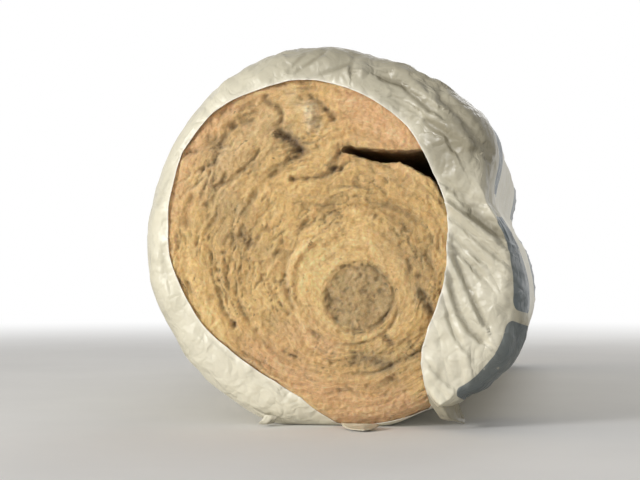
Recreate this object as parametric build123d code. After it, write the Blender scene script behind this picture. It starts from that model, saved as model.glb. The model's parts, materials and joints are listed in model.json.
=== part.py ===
from build123d import *

import math
import os

# A wound glass-wool blanket in its wrapping film, lying on its side.
# X runs across the roll, Y along it from the torn front end to the back end, and Z is up.
# The origin is the middle of the flat on which the soft roll rests. Sizes are in millimetres.

# The roll as a whole
ROLL_LENGTH = 1200.0        # width of the blanket
ROLL_RADIUS = 231.0         # where nothing makes the section bulge
AXIS_RISE = 3.0             # how much higher than that the middle of the section lies
AXIS_HEIGHT = ROLL_RADIUS + AXIS_RISE
AXIS_SHIFT = -10.0          # from the middle of the resting flat to the middle of the section
REST_WIDTH = 110.0          # flat that the roll's weight presses in its underside
SHOULDER_RADIUS = 38.0      # rounding between the side and each end

# Working of the curves
CUT_MARGIN = 5.0            # how far the cutting forms run past what they cut
DEGREE_STEP = 0.5           # step on either side over which a curve's tangent is taken, in degrees
TURN_STEP = 0.01            # the same on the parting, in turns
JOIN_GAP = 0.001            # ends of curves that are closer than this already meet

# How far the sagging section rises above a circle
CROWN_RISE = 16.0
STEP_RISE = 24.0            # over the blanket's outer end
SLACK_RISE = -22.0          # where the film spans from that end to the next turn
BELLY_RISE = 48.0
UNDERSIDE_RISE = 12.0
# Where it does so: (direction in degrees, rise, spread in degrees)
CROWN = (98.0, CROWN_RISE, 34.0)
TAIL_STEP = (35.0, STEP_RISE, 16.0)
SLACK = (15.0, SLACK_RISE, 11.0)
BELLY = (-31.0, BELLY_RISE, 24.0)
UNDERSIDE = (-85.0, UNDERSIDE_RISE, 30.0)
# Directions between which the outline runs in pairs of arcs
STATIONS = (-56, -38, -18, 6, 16, 26, 41, 70, 110, 152, 196, 236)

# Wrapping film
FILM_THICKNESS = 1.0
FILM_SLACK = 0.3            # clearance between film and wool
COLLAR_WIDTH = 42.0         # film turned in over each end of the wool
TEAR_FROM = -76.0           # the collar is torn off the front end between these directions
TEAR_TO = 41.0
TEAR_DEPTH = 3.0            # how far the tear reaches past the shoulder

# Flap of torn film that hangs over the front end
FLAP_THICKNESS = 1.4        # the sheet with its folds
FLAP_LIFT = 0.9             # how far it stands out of the film of the side
FLAP_LAP = 6.0              # how far it reaches back over that film
FLAP_STANDOFF = 12.0        # how far it stands in front of the end
FLAP_TOP = 40.0             # directions of its ends
FLAP_FOOT = -55.0
FLAP_WIDTH = 60.0           # from the side of the roll to the free edge
TONGUE_RISE = 48.0          # how much wider it is at its tongue
FLAP_TONGUE = (-29.0, TONGUE_RISE, 20.0)    # given as the section's bulges are
FLAP_STRETCHES = 6          # of its free edge, each a pair of arcs

# Coil that shows on the ends of the wool
CORE_RADIUS = 44.0          # the folded start of the blanket
CORE_ASIDE = 49.0           # from the middle of the section: the core has sunk to one side
CORE_DROP = 72.0
CORE_RECESS = 7.0

# Hollow beside the blanket's outer end, which runs through the whole roll.
# Each point is (direction in degrees, share of the way from the section's middle to its outside).
HOLLOW_APEX = (75.0, 0.49)
HOLLOW_FLOOR = ((-9.0, 1.05), (6.0, 0.87), (19.0, 0.73), (33.0, 0.60), (53.0, 0.515), HOLLOW_APEX)
HOLLOW_ROOF = (HOLLOW_APEX, (57.0, 0.545), (48.0, 0.60), (40.0, 0.69))
HOLLOW_TAIL = (33.0, 1.08)

# Parting between two turns, which winds from the hollow in to the core on both ends
PARTING_START = (87.0, 0.53)    # direction, and share of the way from the core to the outside
PARTING_TURNS = 1.8
PARTING_EASING = 1.35       # above 1 the outer turns lie looser than the inner ones
PARTING_WIDTH = 6.0
PARTING_DEPTH = 20.0
ENDS_PER_TURN = 5           # ends of its arcs


def rise(direction, bulge):
    """How far one bulge lifts the section's outline in a direction."""
    centre, height, spread = bulge
    away = (direction - centre + 180.0) % 360.0 - 180.0
    return height * math.exp(-((away / spread) ** 2))


def reach(direction):
    """Distance from the middle of the section to its outside."""
    bulges = (CROWN, TAIL_STEP, SLACK, BELLY, UNDERSIDE)
    return ROLL_RADIUS + sum(rise(direction, bulge) for bulge in bulges)


def section_place(direction, radius):
    """Place in the plane of the section, at a distance from its middle."""
    turn = math.radians(direction)
    return Vector(AXIS_SHIFT + radius * math.cos(turn), 0, AXIS_HEIGHT + radius * math.sin(turn))


def coil_place(direction, share):
    """Place in the coil: share 0 is the core's edge, and share 1 the outside of the roll."""
    place = section_place(direction, CORE_RADIUS + share * (reach(direction) - CORE_RADIUS))
    return place + Vector(CORE_ASIDE, 0, -CORE_DROP) * (1.0 - share)


def outside(direction):
    """Place on the section's outside in a direction."""
    return section_place(direction, reach(direction))


def curve_end(curve, at, step):
    """Point of a curve, and the unit vector along it there."""
    return (curve(at), (curve(at + step) - curve(at - step)).normalized())


def arc_joint(start, finish):
    """Where two arcs meet that leave one end of a stretch and reach the other along its tangents."""
    (first, leaving), (last, reaching) = start, finish
    chord = last - first
    both = chord.dot(leaving + reaching)
    spread = 2.0 * (1.0 - leaving.dot(reaching))
    handle = (math.sqrt(both**2 + spread * chord.dot(chord)) - both) / spread
    near_first = first + leaving * handle
    near_last = last - reaching * handle
    return ((near_first + near_last) * 0.5, (near_last - near_first).normalized())


def with_joints(ends):
    """The ends of a chain of stretches, each with its tangent, and the joint of arcs in every stretch."""
    chain = ends[:1]
    for start, finish in zip(ends, ends[1:]):
        chain += [arc_joint(start, finish), finish]
    return chain


def outward(along):
    """Unit vector square to a curve, out of the roll where the curve runs anticlockwise."""
    return Vector(0, 1, 0).cross(along)


def arcs(chain, offset, y):
    """Tangent arcs along a chain of ends, moved outwards by an offset, in the section at a station."""
    moved = [(point + outward(along) * offset + Vector(0, y, 0), along) for point, along in chain]
    return [TangentArc(first, last, tangent=along) for (first, along), (last, _) in zip(moved, moved[1:])]


def closed_face(*curves):
    """Face inside curves that are given in order, with straight lines over the gaps between them."""
    edges = []
    for curve, following in zip(curves, curves[1:] + curves[:1]):
        edges += curve
        if (curve[-1] @ 1 - following[0] @ 0).length > JOIN_GAP:
            edges.append(Line(curve[-1] @ 1, following[0] @ 0))
    return Face(Wire(edges))


def outline():
    """Ends of the arcs round the section, with their tangents, from one end of the flat to the other."""
    along_floor = Vector(1, 0, 0)
    ends = [curve_end(outside, direction, DEGREE_STEP) for direction in STATIONS]
    ends.insert(0, (Vector(REST_WIDTH / 2.0, 0, 0), along_floor))
    ends.append((Vector(-REST_WIDTH / 2.0, 0, 0), along_floor))
    return with_joints(ends)


def section_face(inset, y):
    """Section of the lying roll, drawn inside by an inset: tangent arcs closed by the resting flat."""
    return closed_face(arcs(outline(), -inset, y))


def prism(face, length):
    """Solid that runs from a section towards the back end."""
    return Solid.extrude(face, Vector(0, length, 0))


def rounded_roll(inset):
    """The roll's outer form, drawn inside by an inset, with rounded ends."""
    length = ROLL_LENGTH - 2.0 * inset
    body = prism(section_face(inset, -length / 2.0), length)
    ends = body.faces().filter_by(Axis.Y)
    return body.fillet(SHOULDER_RADIUS - inset, ends.edges())


def parting_place(turns):
    """Place on the parting, a number of turns in from the hollow."""
    wound = max(0.0, turns / PARTING_TURNS)
    share = PARTING_START[1] * (1.0 - wound**PARTING_EASING)
    return coil_place(PARTING_START[0] + 360.0 * turns, share)


def parting(y, into):
    """Groove that the parting between two turns leaves on an end of the wool at a station."""
    count = round(PARTING_TURNS * ENDS_PER_TURN)
    ends = [curve_end(parting_place, PARTING_TURNS * k / count, TURN_STEP) for k in range(count + 1)]
    chain = with_joints(ends)
    outer = arcs(chain, PARTING_WIDTH / 2.0, y)
    inner = arcs(chain, -PARTING_WIDTH / 2.0, y)
    back = [edge.reversed() for edge in reversed(inner)]
    return prism(closed_face(outer, back), into * PARTING_DEPTH)


def core_recess(y, into):
    """Shallow round sink in the middle of the coil, where the blanket starts."""
    middle = section_place(0.0, 0.0) + Vector(CORE_ASIDE, y, -CORE_DROP)
    return Solid.make_cylinder(CORE_RADIUS, CORE_RECESS, Plane(origin=middle, z_dir=(0, into, 0)))


def hollow_place(point):
    """Place of one of the points that shape the hollow."""
    direction, share = point
    return section_place(direction, share * reach(direction))


def through(points):
    """Ends of arcs through points that shape the hollow."""
    places = [hollow_place(point) for point in points]
    before = places[:1] + places[:-1]
    after = places[1:] + places[-1:]
    tangents = [(last - first).normalized() for first, last in zip(before, after)]
    return with_joints(list(zip(places, tangents)))


def hollow():
    """The wedge between the blanket's outer end, the turn below it and the film."""
    start = -ROLL_LENGTH / 2.0 - CUT_MARGIN
    floor = arcs(through(HOLLOW_FLOOR), 0.0, start)
    roof = arcs(through(HOLLOW_ROOF), 0.0, start)
    tail_end = Line(roof[-1] @ 1, hollow_place(HOLLOW_TAIL) + Vector(0, start, 0))
    return prism(closed_face(floor, roof, [tail_end]), ROLL_LENGTH + 2.0 * CUT_MARGIN)


def wool_blanket():
    """The wound blanket: one solid whose turns show on both ends."""
    inset = FILM_THICKNESS + FILM_SLACK
    wool = rounded_roll(inset)
    for side in (-1.0, 1.0):
        y = side * (ROLL_LENGTH / 2.0 - inset)
        wool = wool.cut(parting(y, -side), core_recess(y, -side))
    return wool.cut(hollow())


def sector(curve, first, last, start, finish):
    """Solid outside a curve of the section, between two directions and two stations of the roll."""
    beyond = 2.0 * ROLL_RADIUS
    corner = section_place((first + last) / 2.0, 2.0 * beyond)
    border = [Line(section_place(last, beyond), corner), Line(corner, section_place(first, beyond))]
    return Pos(0, start, 0) * prism(closed_face(curve, border), finish - start)


def tear():
    """The stretch of the front end's film between the two directions where it is torn off."""
    inside = ROLL_RADIUS / 2.0
    first = section_place(TEAR_FROM, inside)
    last = section_place(TEAR_TO, inside)
    start = -ROLL_LENGTH / 2.0 - CUT_MARGIN
    finish = -ROLL_LENGTH / 2.0 + SHOULDER_RADIUS + TEAR_DEPTH
    return sector([Line(first, last)], TEAR_FROM, TEAR_TO, start, finish)


def flap_edge(direction):
    """Place on the flap's free edge in a direction."""
    return section_place(direction, reach(direction) - FLAP_WIDTH - rise(direction, FLAP_TONGUE))


def puffed_end(inset):
    """The roll's front end with a rounder shoulder, drawn inside by an inset and standing forward."""
    start = -ROLL_LENGTH / 2.0 - FLAP_STANDOFF + inset
    finish = -ROLL_LENGTH / 2.0 + SHOULDER_RADIUS + FLAP_LAP
    body = prism(section_face(inset, start), finish - start)
    front = body.faces().sort_by(Axis.Y)[0]
    return body.fillet(SHOULDER_RADIUS + FLAP_STANDOFF - inset, front.edges())


def flap():
    """Loose film that comes forward off the side and lies over the front end, standing clear of it."""
    sheet = puffed_end(-FLAP_LIFT).cut(puffed_end(FLAP_THICKNESS - FLAP_LIFT))
    stretch = (FLAP_TOP - FLAP_FOOT) / FLAP_STRETCHES
    directions = [FLAP_FOOT + stretch * k for k in range(FLAP_STRETCHES + 1)]
    ends = [curve_end(flap_edge, direction, DEGREE_STEP) for direction in directions]
    free_edge = arcs(with_joints(ends), 0.0, 0.0)
    start = -ROLL_LENGTH / 2.0 - FLAP_STANDOFF - CUT_MARGIN
    kept = sector(free_edge, FLAP_FOOT, FLAP_TOP, start, 0.0)
    return (sheet & kept).solid()


def film_wrap():
    """The film sleeve with a collar at each end, torn open and hanging loose at the front."""
    sleeve = rounded_roll(0.0).cut(rounded_roll(FILM_THICKNESS))
    length = ROLL_LENGTH + 2.0 * CUT_MARGIN
    mouth = prism(section_face(COLLAR_WIDTH, -length / 2.0), length)
    sleeve = sleeve.cut(mouth, tear())
    return sleeve.fuse(flap())


if __name__ == "__main__":
    os.makedirs("parts", exist_ok=True)
    export_step(wool_blanket(), "parts/wool_blanket.step")
    export_step(film_wrap(), "parts/film_wrap.step")
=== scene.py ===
"""Looks of a rolled glass-wool blanket in its torn film wrap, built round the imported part.

Blender works in metres. Lines that shape the front end are given in millimetres of the roll's own frame.
"""

import json
import logging
import math
from dataclasses import dataclass, fields
from enum import Enum
from functools import reduce

import bmesh
import bpy
import numpy as np
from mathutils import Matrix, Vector, noise
from mathutils.bvhtree import BVHTree

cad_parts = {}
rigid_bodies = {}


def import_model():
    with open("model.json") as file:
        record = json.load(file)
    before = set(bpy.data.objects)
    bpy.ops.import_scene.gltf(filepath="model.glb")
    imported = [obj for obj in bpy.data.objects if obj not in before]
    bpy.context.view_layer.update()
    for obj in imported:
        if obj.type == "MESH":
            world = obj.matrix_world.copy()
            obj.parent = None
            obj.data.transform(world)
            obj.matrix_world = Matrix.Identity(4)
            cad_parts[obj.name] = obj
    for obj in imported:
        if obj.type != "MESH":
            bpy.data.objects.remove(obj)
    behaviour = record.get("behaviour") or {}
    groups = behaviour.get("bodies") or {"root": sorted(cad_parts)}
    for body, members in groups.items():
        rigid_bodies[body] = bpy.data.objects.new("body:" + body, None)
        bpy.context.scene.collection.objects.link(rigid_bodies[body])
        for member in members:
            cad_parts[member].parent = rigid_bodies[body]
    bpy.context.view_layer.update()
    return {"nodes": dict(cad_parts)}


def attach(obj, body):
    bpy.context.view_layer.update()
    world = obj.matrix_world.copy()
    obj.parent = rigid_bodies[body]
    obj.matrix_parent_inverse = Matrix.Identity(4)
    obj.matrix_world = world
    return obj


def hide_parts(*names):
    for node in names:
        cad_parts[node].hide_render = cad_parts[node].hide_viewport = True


for leftover in list(bpy.data.objects):
    bpy.data.objects.remove(leftover)
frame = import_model()

Array = np.ndarray
BMesh = bmesh.types.BMesh
Mesh = bpy.types.Mesh
Object = bpy.types.Object
Socket = bpy.types.NodeSocket
Pair = tuple[float, float]
Rgb = tuple[float, float, float]
Rgba = tuple[float, float, float, float]

LOG = logging.getLogger("insulation_roll")
MM = 0.001
QUARTER_TURN = math.pi / 2.0
GENTLE_SIDE = 4.5                   # how many times as wide as its steep side the gentle side of a film fold is
HALF_LENGTH = 0.6
SHOULDER = 0.038                    # radius of the rounding at each end
FILM_GAP = 0.0013                   # from the outside of the film to the wool
SECTION_MIDDLE = (-0.010, 0.234)    # x and z


def smooth_step(low: float, high: float, value: Array) -> Array:
    """0 below low, 1 above high, and a smooth rise between them."""
    share = np.clip((value - low) / (high - low), 0.0, 1.0)
    return share * share * (3.0 - 2.0 * share)


def smooth_fall(low: float, high: float, value: Array) -> Array:
    """1 below low, 0 above high, and a smooth fall between them."""
    return 1.0 - smooth_step(low, high, value)


@dataclass(frozen=True)
class Span:
    """A range of values that is entered over one stretch and left over another."""

    enter: Pair
    leave: Pair

    def share(self, value: Array) -> Array:
        """1 inside the range and 0 outside it, with a smooth rise and a smooth fall."""
        return smooth_step(*self.enter, value) * smooth_fall(*self.leave, value)


# Directions round the film, in degrees
FLAP = Span((-57.0, -53.0), (38.0, 56.0))           # where it stands in front of the end as a flap
FLAP_CREASED = Span((-60.0, -52.0), (38.0, 50.0))
# where the flap is greyed: painted shade, with some stain
FLAP_STAIN_AND_SHADE = Span((-56.0, -40.0), (34.0, 50.0))
BESIDE_FLAP = Span((-58.0, -44.0), (30.0, 50.0))
TOP_CREASED = Span((35.0, 60.0), (118.0, 140.0))
# where the top is greyed: dust and painted shade
TOP_DUST_AND_SHADE = Span((18.0, 45.0), (90.0, 130.0))
# Stations along Y
# where the shoulder is greyed: dust and painted shade
SHOULDER_DUST_AND_SHADE = Span((-0.603, -0.580), (-0.45, -0.2))
# where the film turned back over the flap's fold gets painted shade
TURNED_BACK = Span((-0.608, -0.588), (-0.53, -0.42))
# Shares in the coil
RING = Span((0.0, 0.03), (0.13, 0.20))              # the pale ring round the core
ARCS = Span((0.08, 0.2), (0.5, 0.7))                # where the layers part most


class End(Enum):
    """The two ends of the roll, with the side of the origin on which each lies."""

    FRONT = -1.0
    BACK = 1.0


class Tone(Enum):
    """Colours of the wool, in linear light."""

    GOLD = (0.715, 0.448, 0.166)
    STRAW = (0.640, 0.430, 0.205)
    PEACH = (0.800, 0.455, 0.212)
    BRIGHT = (0.880, 0.568, 0.232)
    GREY = (0.430, 0.295, 0.135)
    CORE = (0.540, 0.370, 0.170)
    RUST = (0.560, 0.290, 0.100)
    CREAM = (0.840, 0.620, 0.340)

    def over(self, colour: Array, share: Array) -> Array:
        """Colours, one row each, moved towards this tone by a share each."""
        return colour + share[:, None] * (np.array(self.value) - colour)


@dataclass(frozen=True)
class Crease:
    """A mark along a line of points (x, z) on the front end. Millimetres.

    On the wool a depth above 0 is a furrow, and below 0 a ridge. On the film it is the other way round.
    """

    depth: float
    width: float
    line: tuple[Pair, ...]

    def share(self, x: Array, z: Array) -> Array:
        """How strongly the crease marks each place: 1 on the line, falling to 0 beside it."""
        return np.exp(-((self.distance(x, z) / self.width) ** 2))

    def distance(self, x: Array, z: Array) -> Array:
        """Distance of each place from the line, in millimetres.

        Args:
            x: Places across the roll, in millimetres.
            z: Heights, in millimetres.

        Returns:
            The least distance to any stretch of the line, below 0 on the right of the line.
        """
        least = np.full(x.shape, 1e9)
        side = np.ones(x.shape)
        stretches = list(zip(self.line, self.line[1:])) or [(self.line[0], self.line[0])]
        for (x0, z0), (x1, z1) in stretches:
            dx, dz = x1 - x0, z1 - z0
            along = ((x - x0) * dx + (z - z0) * dz) / max(dx * dx + dz * dz, 1e-9)
            along = np.clip(along, 0.0, 1.0)
            away = np.hypot(x - x0 - along * dx, z - z0 - along * dz)
            left = np.where(dx * (z - z0) - dz * (x - x0) >= 0.0, 1.0, -1.0)
            side = np.where(away < least, left, side)
            least = np.minimum(least, away)
        return least * side

    def lip(self, x: Array, z: Array) -> Array:
        """Profile of a fold in film.

        Args:
            x: Places across the roll, in millimetres.
            z: Heights, in millimetres.

        Returns:
            1 on the line, with a gentle fall on its left and a steep one on its right.
        """
        away = self.distance(x, z)
        gentle = np.exp(-away / (GENTLE_SIDE * self.width))
        return np.where(away >= 0.0, gentle, np.exp(-((away / self.width) ** 2)))


@dataclass(frozen=True)
class Patch:
    """A stretch of the front end where the wool has another colour, or painted shade. Millimetres."""

    tone: Tone
    strength: float
    width: float
    line: tuple[Pair, ...]

    def share(self, x: Array, z: Array) -> Array:
        """How far the patch colours each place, from 0 to its strength."""
        return self.strength * Crease(1.0, self.width, self.line).share(x, z)


def points(line: list[float]) -> tuple[Pair, ...]:
    """Points from numbers that name x and z in turn."""
    return tuple(zip(line[::2], line[1::2]))


# Furrows, pits and ridges of the wool's front end: depth, width, and x and z of each point
WOOL_CREASES = tuple(Crease(depth, width, points(line)) for depth, width, *line in (
    (5, 3, -79, 415, -60, 402, -57, 392, -60, 385),
    (11, 7, -58, 373, -47, 362, -35, 346),
    (6, 3, -49, 366),
    (6, 3, -37, 347),
    (4, 3, -29, 361),
    (5, 3, -22, 415, -10, 410, -4, 399),
    (-9, 8, -23, 400, -19, 381),
    (6, 5, -1, 399, 9, 384),
    (5, 3, 8, 385),
    (5, 4, -121, 379, -137, 360, -140, 347, -148, 333, -162, 324),
    (3, 3, -121, 379, -105, 386, -92, 385),
    (4, 3, -87, 349, -92, 338, -105, 325, -117, 315, -130, 306, -146, 304),
    (3, 3, -139, 388, -129, 399, -110, 402, -92, 410),
    (-4, 5, -135, 381, -119, 393, -97, 398),
    (5, 3, -185, 342, -169, 346),
    (3, 4, -174, 288, -182, 271, -183, 254),
    (4, 3, -155, 280),
    (6, 3, -46, 309, -21, 311, 1, 315, 12, 324, 19, 323),
    (5, 3, -46, 309),
    (4, 3, 18, 324),
    (3, 3, -24, 264),
    (3, 3, -90, 318),
    (5, 3, -139, 196),
    (5, 3, -139, 184),
    (5, 3, -139, 172, -135, 150, -121, 128),
    (4, 3, -121, 131),
    (3, 3, -89, 121),
    (5, 3, -53, 94, -38, 89),
    (5, 6, -129, 234, -113, 240, -100, 231),
    (4, 3, -133, 220),
    (-4, 4, -132, 215, -135, 197, -132, 175),
    (-5, 4, -15, 233, -33, 223, -42, 208, -44, 190, -47, 169, -44, 155),
    (3, 3, -85, 187),
    (3, 3, -31, 146),
    (3, 3, -53, 142),
    (3, 3, -19, 240),
    (4, 3, 20, 201, 40, 198, 60, 200, 74, 189),
    (4, 3, 74, 189, 81, 173, 83, 160, 79, 148, 67, 133, 52, 122, 34, 119, 17, 119),
    (4, 3, -3, 169, 2, 162, 13, 155),
    (3, 2.5, 32, 166),
    (7, 4, 74, 112, 80, 106),
    (4, 6, 37, 87, 59, 86, 77, 78),
    (4, 3, 95, 47),
    (4, 3, 79, 63, 87, 59),
    (6, 5, 117, 167, 124, 154, 132, 144),
    (4, 3, 115, 187, 127, 182),
    (2.5, 3, 13, 47, 25, 51, 38, 40),
    (2, 3, 52, 53, 71, 44, 90, 47),
    (-3, 4, 80, 310, 105, 303, 122, 292, 137, 281),
    (6, 5, 9, 324, 15, 340, 24, 349),
    (3, 3, -65, 430, -54, 431),
))

# Where it is cut smooth
SMOOTH_TOP = Crease(1.0, 45, ((50, 395), (95, 360)))
SMOOTH_FOOT = Crease(1.0, 34, ((-40, 50), (90, 25)))

# Stretches of another colour, some of them painted shade along furrows and beside the hollow: tone, strength,
# width, and x and z of each point
WOOL_PATCHES = tuple(Patch(tone, strength, width, points(line)) for tone, strength, width, *line in (
    (Tone.PEACH, 0.9, 34, 40, 400, 80, 372, 110, 350),
    (Tone.PEACH, 0.6, 16, 30, 424, 70, 404),
    # painted shade: dark brown beside the hollow's lip
    (Tone.RUST, 0.8, 8, 22, 352, 12, 338, 26, 344),
    (Tone.STRAW, 0.7, 30, -150, 310, -120, 350, -80, 385),
    # painted shade along the deep furrow above
    (Tone.GREY, 0.55, 13, -52, 372, -40, 352),
    (Tone.CREAM, 0.95, 10, -23, 400, -18, 380),
    (Tone.CREAM, 0.5, 10, -48, 417, -40, 405),
    (Tone.GREY, 0.55, 18, -130, 278, -108, 268),
    # painted shade along the furrow at the same place
    (Tone.GREY, 0.35, 14, -127, 240, -104, 234),
    (Tone.RUST, 0.55, 6, -174, 288, -182, 271, -183, 254),
    (Tone.BRIGHT, 0.95, 15, -15, 225, -30, 215, -38, 195, -40, 165),
    (Tone.BRIGHT, 0.5, 20, 20, 225, 0, 205),
    (Tone.GREY, 0.10, 28, 60, 262, 95, 252, 124, 236),
    (Tone.GREY, 0.25, 22, 110, 212, 116, 190),
    # painted shade along a furrow near the foot
    (Tone.GREY, 0.85, 9, 36, 87, 58, 86, 78, 77),
    # painted shade along the furrow on the right
    (Tone.GREY, 0.7, 9, 114, 172, 124, 152),
    (Tone.PEACH, 0.75, 26, -90, 90, -30, 55, 30, 30, 90, 30),
    (Tone.PEACH, 0.6, 18, 0, 100, -40, 120),
    (Tone.BRIGHT, 0.5, 16, -60, 180, -75, 200),
    (Tone.BRIGHT, 0.6, 9, -35, 327, -6, 330, 16, 350),
))

# Ridges and furrows of the film over the front end, in the same way
FILM_CREASES = tuple(Crease(depth, width, points(line)) for depth, width, *line in (
    (-2.5, 3, -51, 447, -33, 469),
    (-2.5, 3, -40, 446, -8, 467),
    (-2.5, 3, -21, 438, 6, 446, 27, 454),
    (-3, 2.5, 29, 454, 29, 442),
    (-3, 4, 67, 435, 92, 427, 129, 393),
    (4, 4, 83, 440, 109, 435, 133, 424),
    (4, 4, 105, 420, 137, 398),
    (5, 5, 124, 388, 147, 374, 171, 356, 179, 349),
    (-3, 4, 124, 379, 149, 362, 158, 343),
    (3, 4, 43, 443, 74, 446, 99, 443),
    (3, 5, 146, 412, 174, 387, 193, 356),
    (-3, 5, 140, 406, 168, 381, 187, 346),
    (-3, 3, 152, 296, 168, 287, 171, 275, 185, 275),
    (7, 3.5, 209, 231, 188, 248, 164, 266, 149, 278),
    (-5, 3, 180, 266, 196, 252, 212, 240),
    (-3, 2.5, 150, 263, 170, 246, 192, 226, 212, 209),
    (-2.5, 2.5, 152, 240, 168, 226, 190, 207),
    (-3, 2.5, 155, 225, 172, 208, 190, 188),
    (-6, 3, 158, 214, 168, 190, 177, 169, 186, 148, 195, 130),
    (-6, 3, 152, 180, 158, 160, 164, 142, 176, 124, 190, 111),
    (-3, 2.5, 150, 140, 158, 118, 170, 100),
    (-2.5, 3, 130, 78, 152, 56),
    (-2, 4, -54, 44, -41, 28),
    (2, 5, -110, 72, -91, 56),
    (2, 4, -135, 94, -154, 106),
    (-2, 4, -213, 218, -207, 187),
    (-2, 4, -222, 281, -203, 318),
    (2, 4, -191, 349, -169, 381),
))
SHADED_FACET = Crease(1.0, 8, ((176, 266), (196, 252), (216, 238)))

# Free edge of the film on the front end: direction in degrees, and distance from the section's middle
FREE_EDGE = (
    (-175, 195), (-164, 189), (-153, 185), (-145, 184), (-131, 179), (-119, 180), (-108, 185), (-97, 198),
    (-88, 222), (-85, 232), (-81, 235), (-66, 244), (-58, 250), (-56, 246), (-53.5, 222), (-50, 198),
    (-46, 185), (-38, 173), (-26, 166), (-3, 159), (14, 163), (30, 164), (41, 170), (52, 178), (63, 183),
    (74, 189), (84, 195), (93, 201), (101, 204), (111, 205), (120, 208), (130, 211), (142, 209), (148, 209),
    (160, 202), (167, 200), (175, 196),
)

# Outer fold of the loose flap, in the same way
FLAP_FOLD = (
    (-56, 250), (-48, 252), (-44, 250), (-39, 245), (-34, 240), (-25, 236), (-14, 231), (0, 229), (6, 224),
    (12, 214), (21, 205), (29, 203), (38, 205), (50, 215),
)


def along_table(table: tuple[Pair, ...], directions: Array) -> Array:
    """Distances in metres at some directions, from a table of directions in degrees and millimetres."""
    known = np.array(table, float)
    return np.interp(directions, known[:, 0], known[:, 1], period=360.0) * MM


def signed(directions: Array) -> Array:
    """The same directions in degrees, from -180 to 180."""
    return (directions + 180.0) % 360.0 - 180.0


def grain(points: Array, octaves: int = 3, seed: float = 0.0) -> Array:
    """Smooth noise at each point.

    Args:
        points: Rows of three coordinates, where the noise has features about 1 across.
        octaves: Layers of finer detail.
        seed: Moves the pattern, so that two uses differ.

    Returns:
        One value a point, about -1 to 1.
    """
    shift = Vector((seed * 7.31, seed * -3.17, seed * 5.71))
    return np.array([noise.fractal(Vector(point) + shift, 0.9, 2.0, octaves) for point in points])


def facets(points: Array, seed: float = 0.0) -> Array:
    """Flat-sided bumps, as of crumpled film.

    Args:
        points: Rows of three coordinates, where the bumps are about 1 across.
        seed: Moves the pattern, so that two uses differ.

    Returns:
        One value a point: 0 on the creases between bumps, and up to about 1.
    """
    shift = Vector((seed * 5.17, seed * 2.93, seed * -4.61))
    nearest = [noise.voronoi(Vector(point) + shift)[0] for point in points]
    return np.array([distances[1] - distances[0] for distances in nearest])


def flat_rows(first: Array, second: Array) -> Array:
    """Rows of three coordinates, of which the last is 0."""
    return np.stack([first, second, np.zeros(len(first))], axis=1)


class Relief(Enum):
    """Noise on the ends of the wool: features in a metre, octaves, and how far the pattern is moved."""

    FOLDS = ((56.0, 14.0, 14.0), 3, 0.0)
    SEAMS = ((105.0, 20.0, 20.0), 3, 1.0)
    TUFTS = (62.0, 3, 2.0)
    FUZZ = (190.0, 3, 3.0)
    LUMPS = (24.0, 3, 4.0)
    BREAKS = (25.0, 2, 5.0)
    CORE_EDGE = (35.0, 2, 6.0)
    BLOTCHES = (16.0, 3, 7.0)
    SPLITS = (20.0, 2, 8.0)
    HOLES = ((84.0, 36.0, 36.0), 4, 9.0)

    def at(self, points: Array, seed: float) -> Array:
        """The noise at points in metres. Each end has a seed of its own."""
        scale, octaves, moved = self.value
        return grain(points * np.array(scale), octaves, seed + moved)


def read_out(source: object, field: str, kind: type = np.float32) -> Array:
    """Reads a field of a mesh's vertices, normals or corners.

    Args:
        source: The collection.
        field: Name of the field.
        kind: float32 for rows of three, and int32 for whole numbers.

    Returns:
        One row each.
    """
    values = np.zeros(len(source) * (3 if kind is np.float32 else 1), kind)
    source.foreach_get(field, values)
    return values.reshape(-1, 3) if kind is np.float32 else values


def coordinates(mesh: Mesh) -> Array:
    """The places of a mesh's vertices, one row each."""
    return read_out(mesh.vertices, "co").astype(float)


def set_coordinates(mesh: Mesh, places: Array) -> None:
    """Puts a mesh's vertices at new places."""
    mesh.vertices.foreach_set("co", places.astype(np.float32).ravel())
    mesh.update()


def opened(*meshes: Mesh) -> BMesh:
    """A bmesh with the shapes of some meshes.

    Args:
        meshes: The meshes, which stay as they are.

    Returns:
        The bmesh.
    """
    shell = bmesh.new()
    for mesh in meshes:
        shell.from_mesh(mesh)
    return shell


def settled(shell: BMesh, mesh: Mesh | str) -> Mesh:
    """Writes a bmesh to a mesh, and frees it.

    Args:
        shell: The bmesh.
        mesh: The mesh, or the name of a new one.

    Returns:
        The mesh.
    """
    mesh = bpy.data.meshes.new(mesh) if isinstance(mesh, str) else mesh
    shell.to_mesh(mesh)
    shell.free()
    return mesh


def face_outward(shell: BMesh) -> BMesh:
    """Turns all faces of a closed bmesh outwards."""
    bmesh.ops.recalc_face_normals(shell, faces=shell.faces[:])
    return shell


def store(mesh: Mesh, **values: Array) -> None:
    """Stores values at each vertex, for a material to read.

    Args:
        mesh: The mesh.
        values: Numbers, or rows of three coordinates or four channels, under the name of the attribute.
    """
    kinds = {1: ("FLOAT", "value"), 3: ("FLOAT_VECTOR", "vector"), 4: ("FLOAT_COLOR", "color")}
    for name, rows in values.items():
        kind, field = kinds[rows.size // len(rows)]
        made = mesh.attributes.new(name, kind, "POINT")
        made.data.foreach_set(field, rows.astype(np.float32).ravel())


def corner_vertices(mesh: Mesh) -> Array:
    """The vertex at each corner of each face."""
    return read_out(mesh.loops, "vertex_index", np.int32)


def lay_map(mesh: Mesh, uv: Array) -> None:
    """Gives a mesh its UV map, one row a corner."""
    mesh.uv_layers.new(name="UVMap").data.foreach_set("uv", uv.astype(np.float32).ravel())


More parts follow.
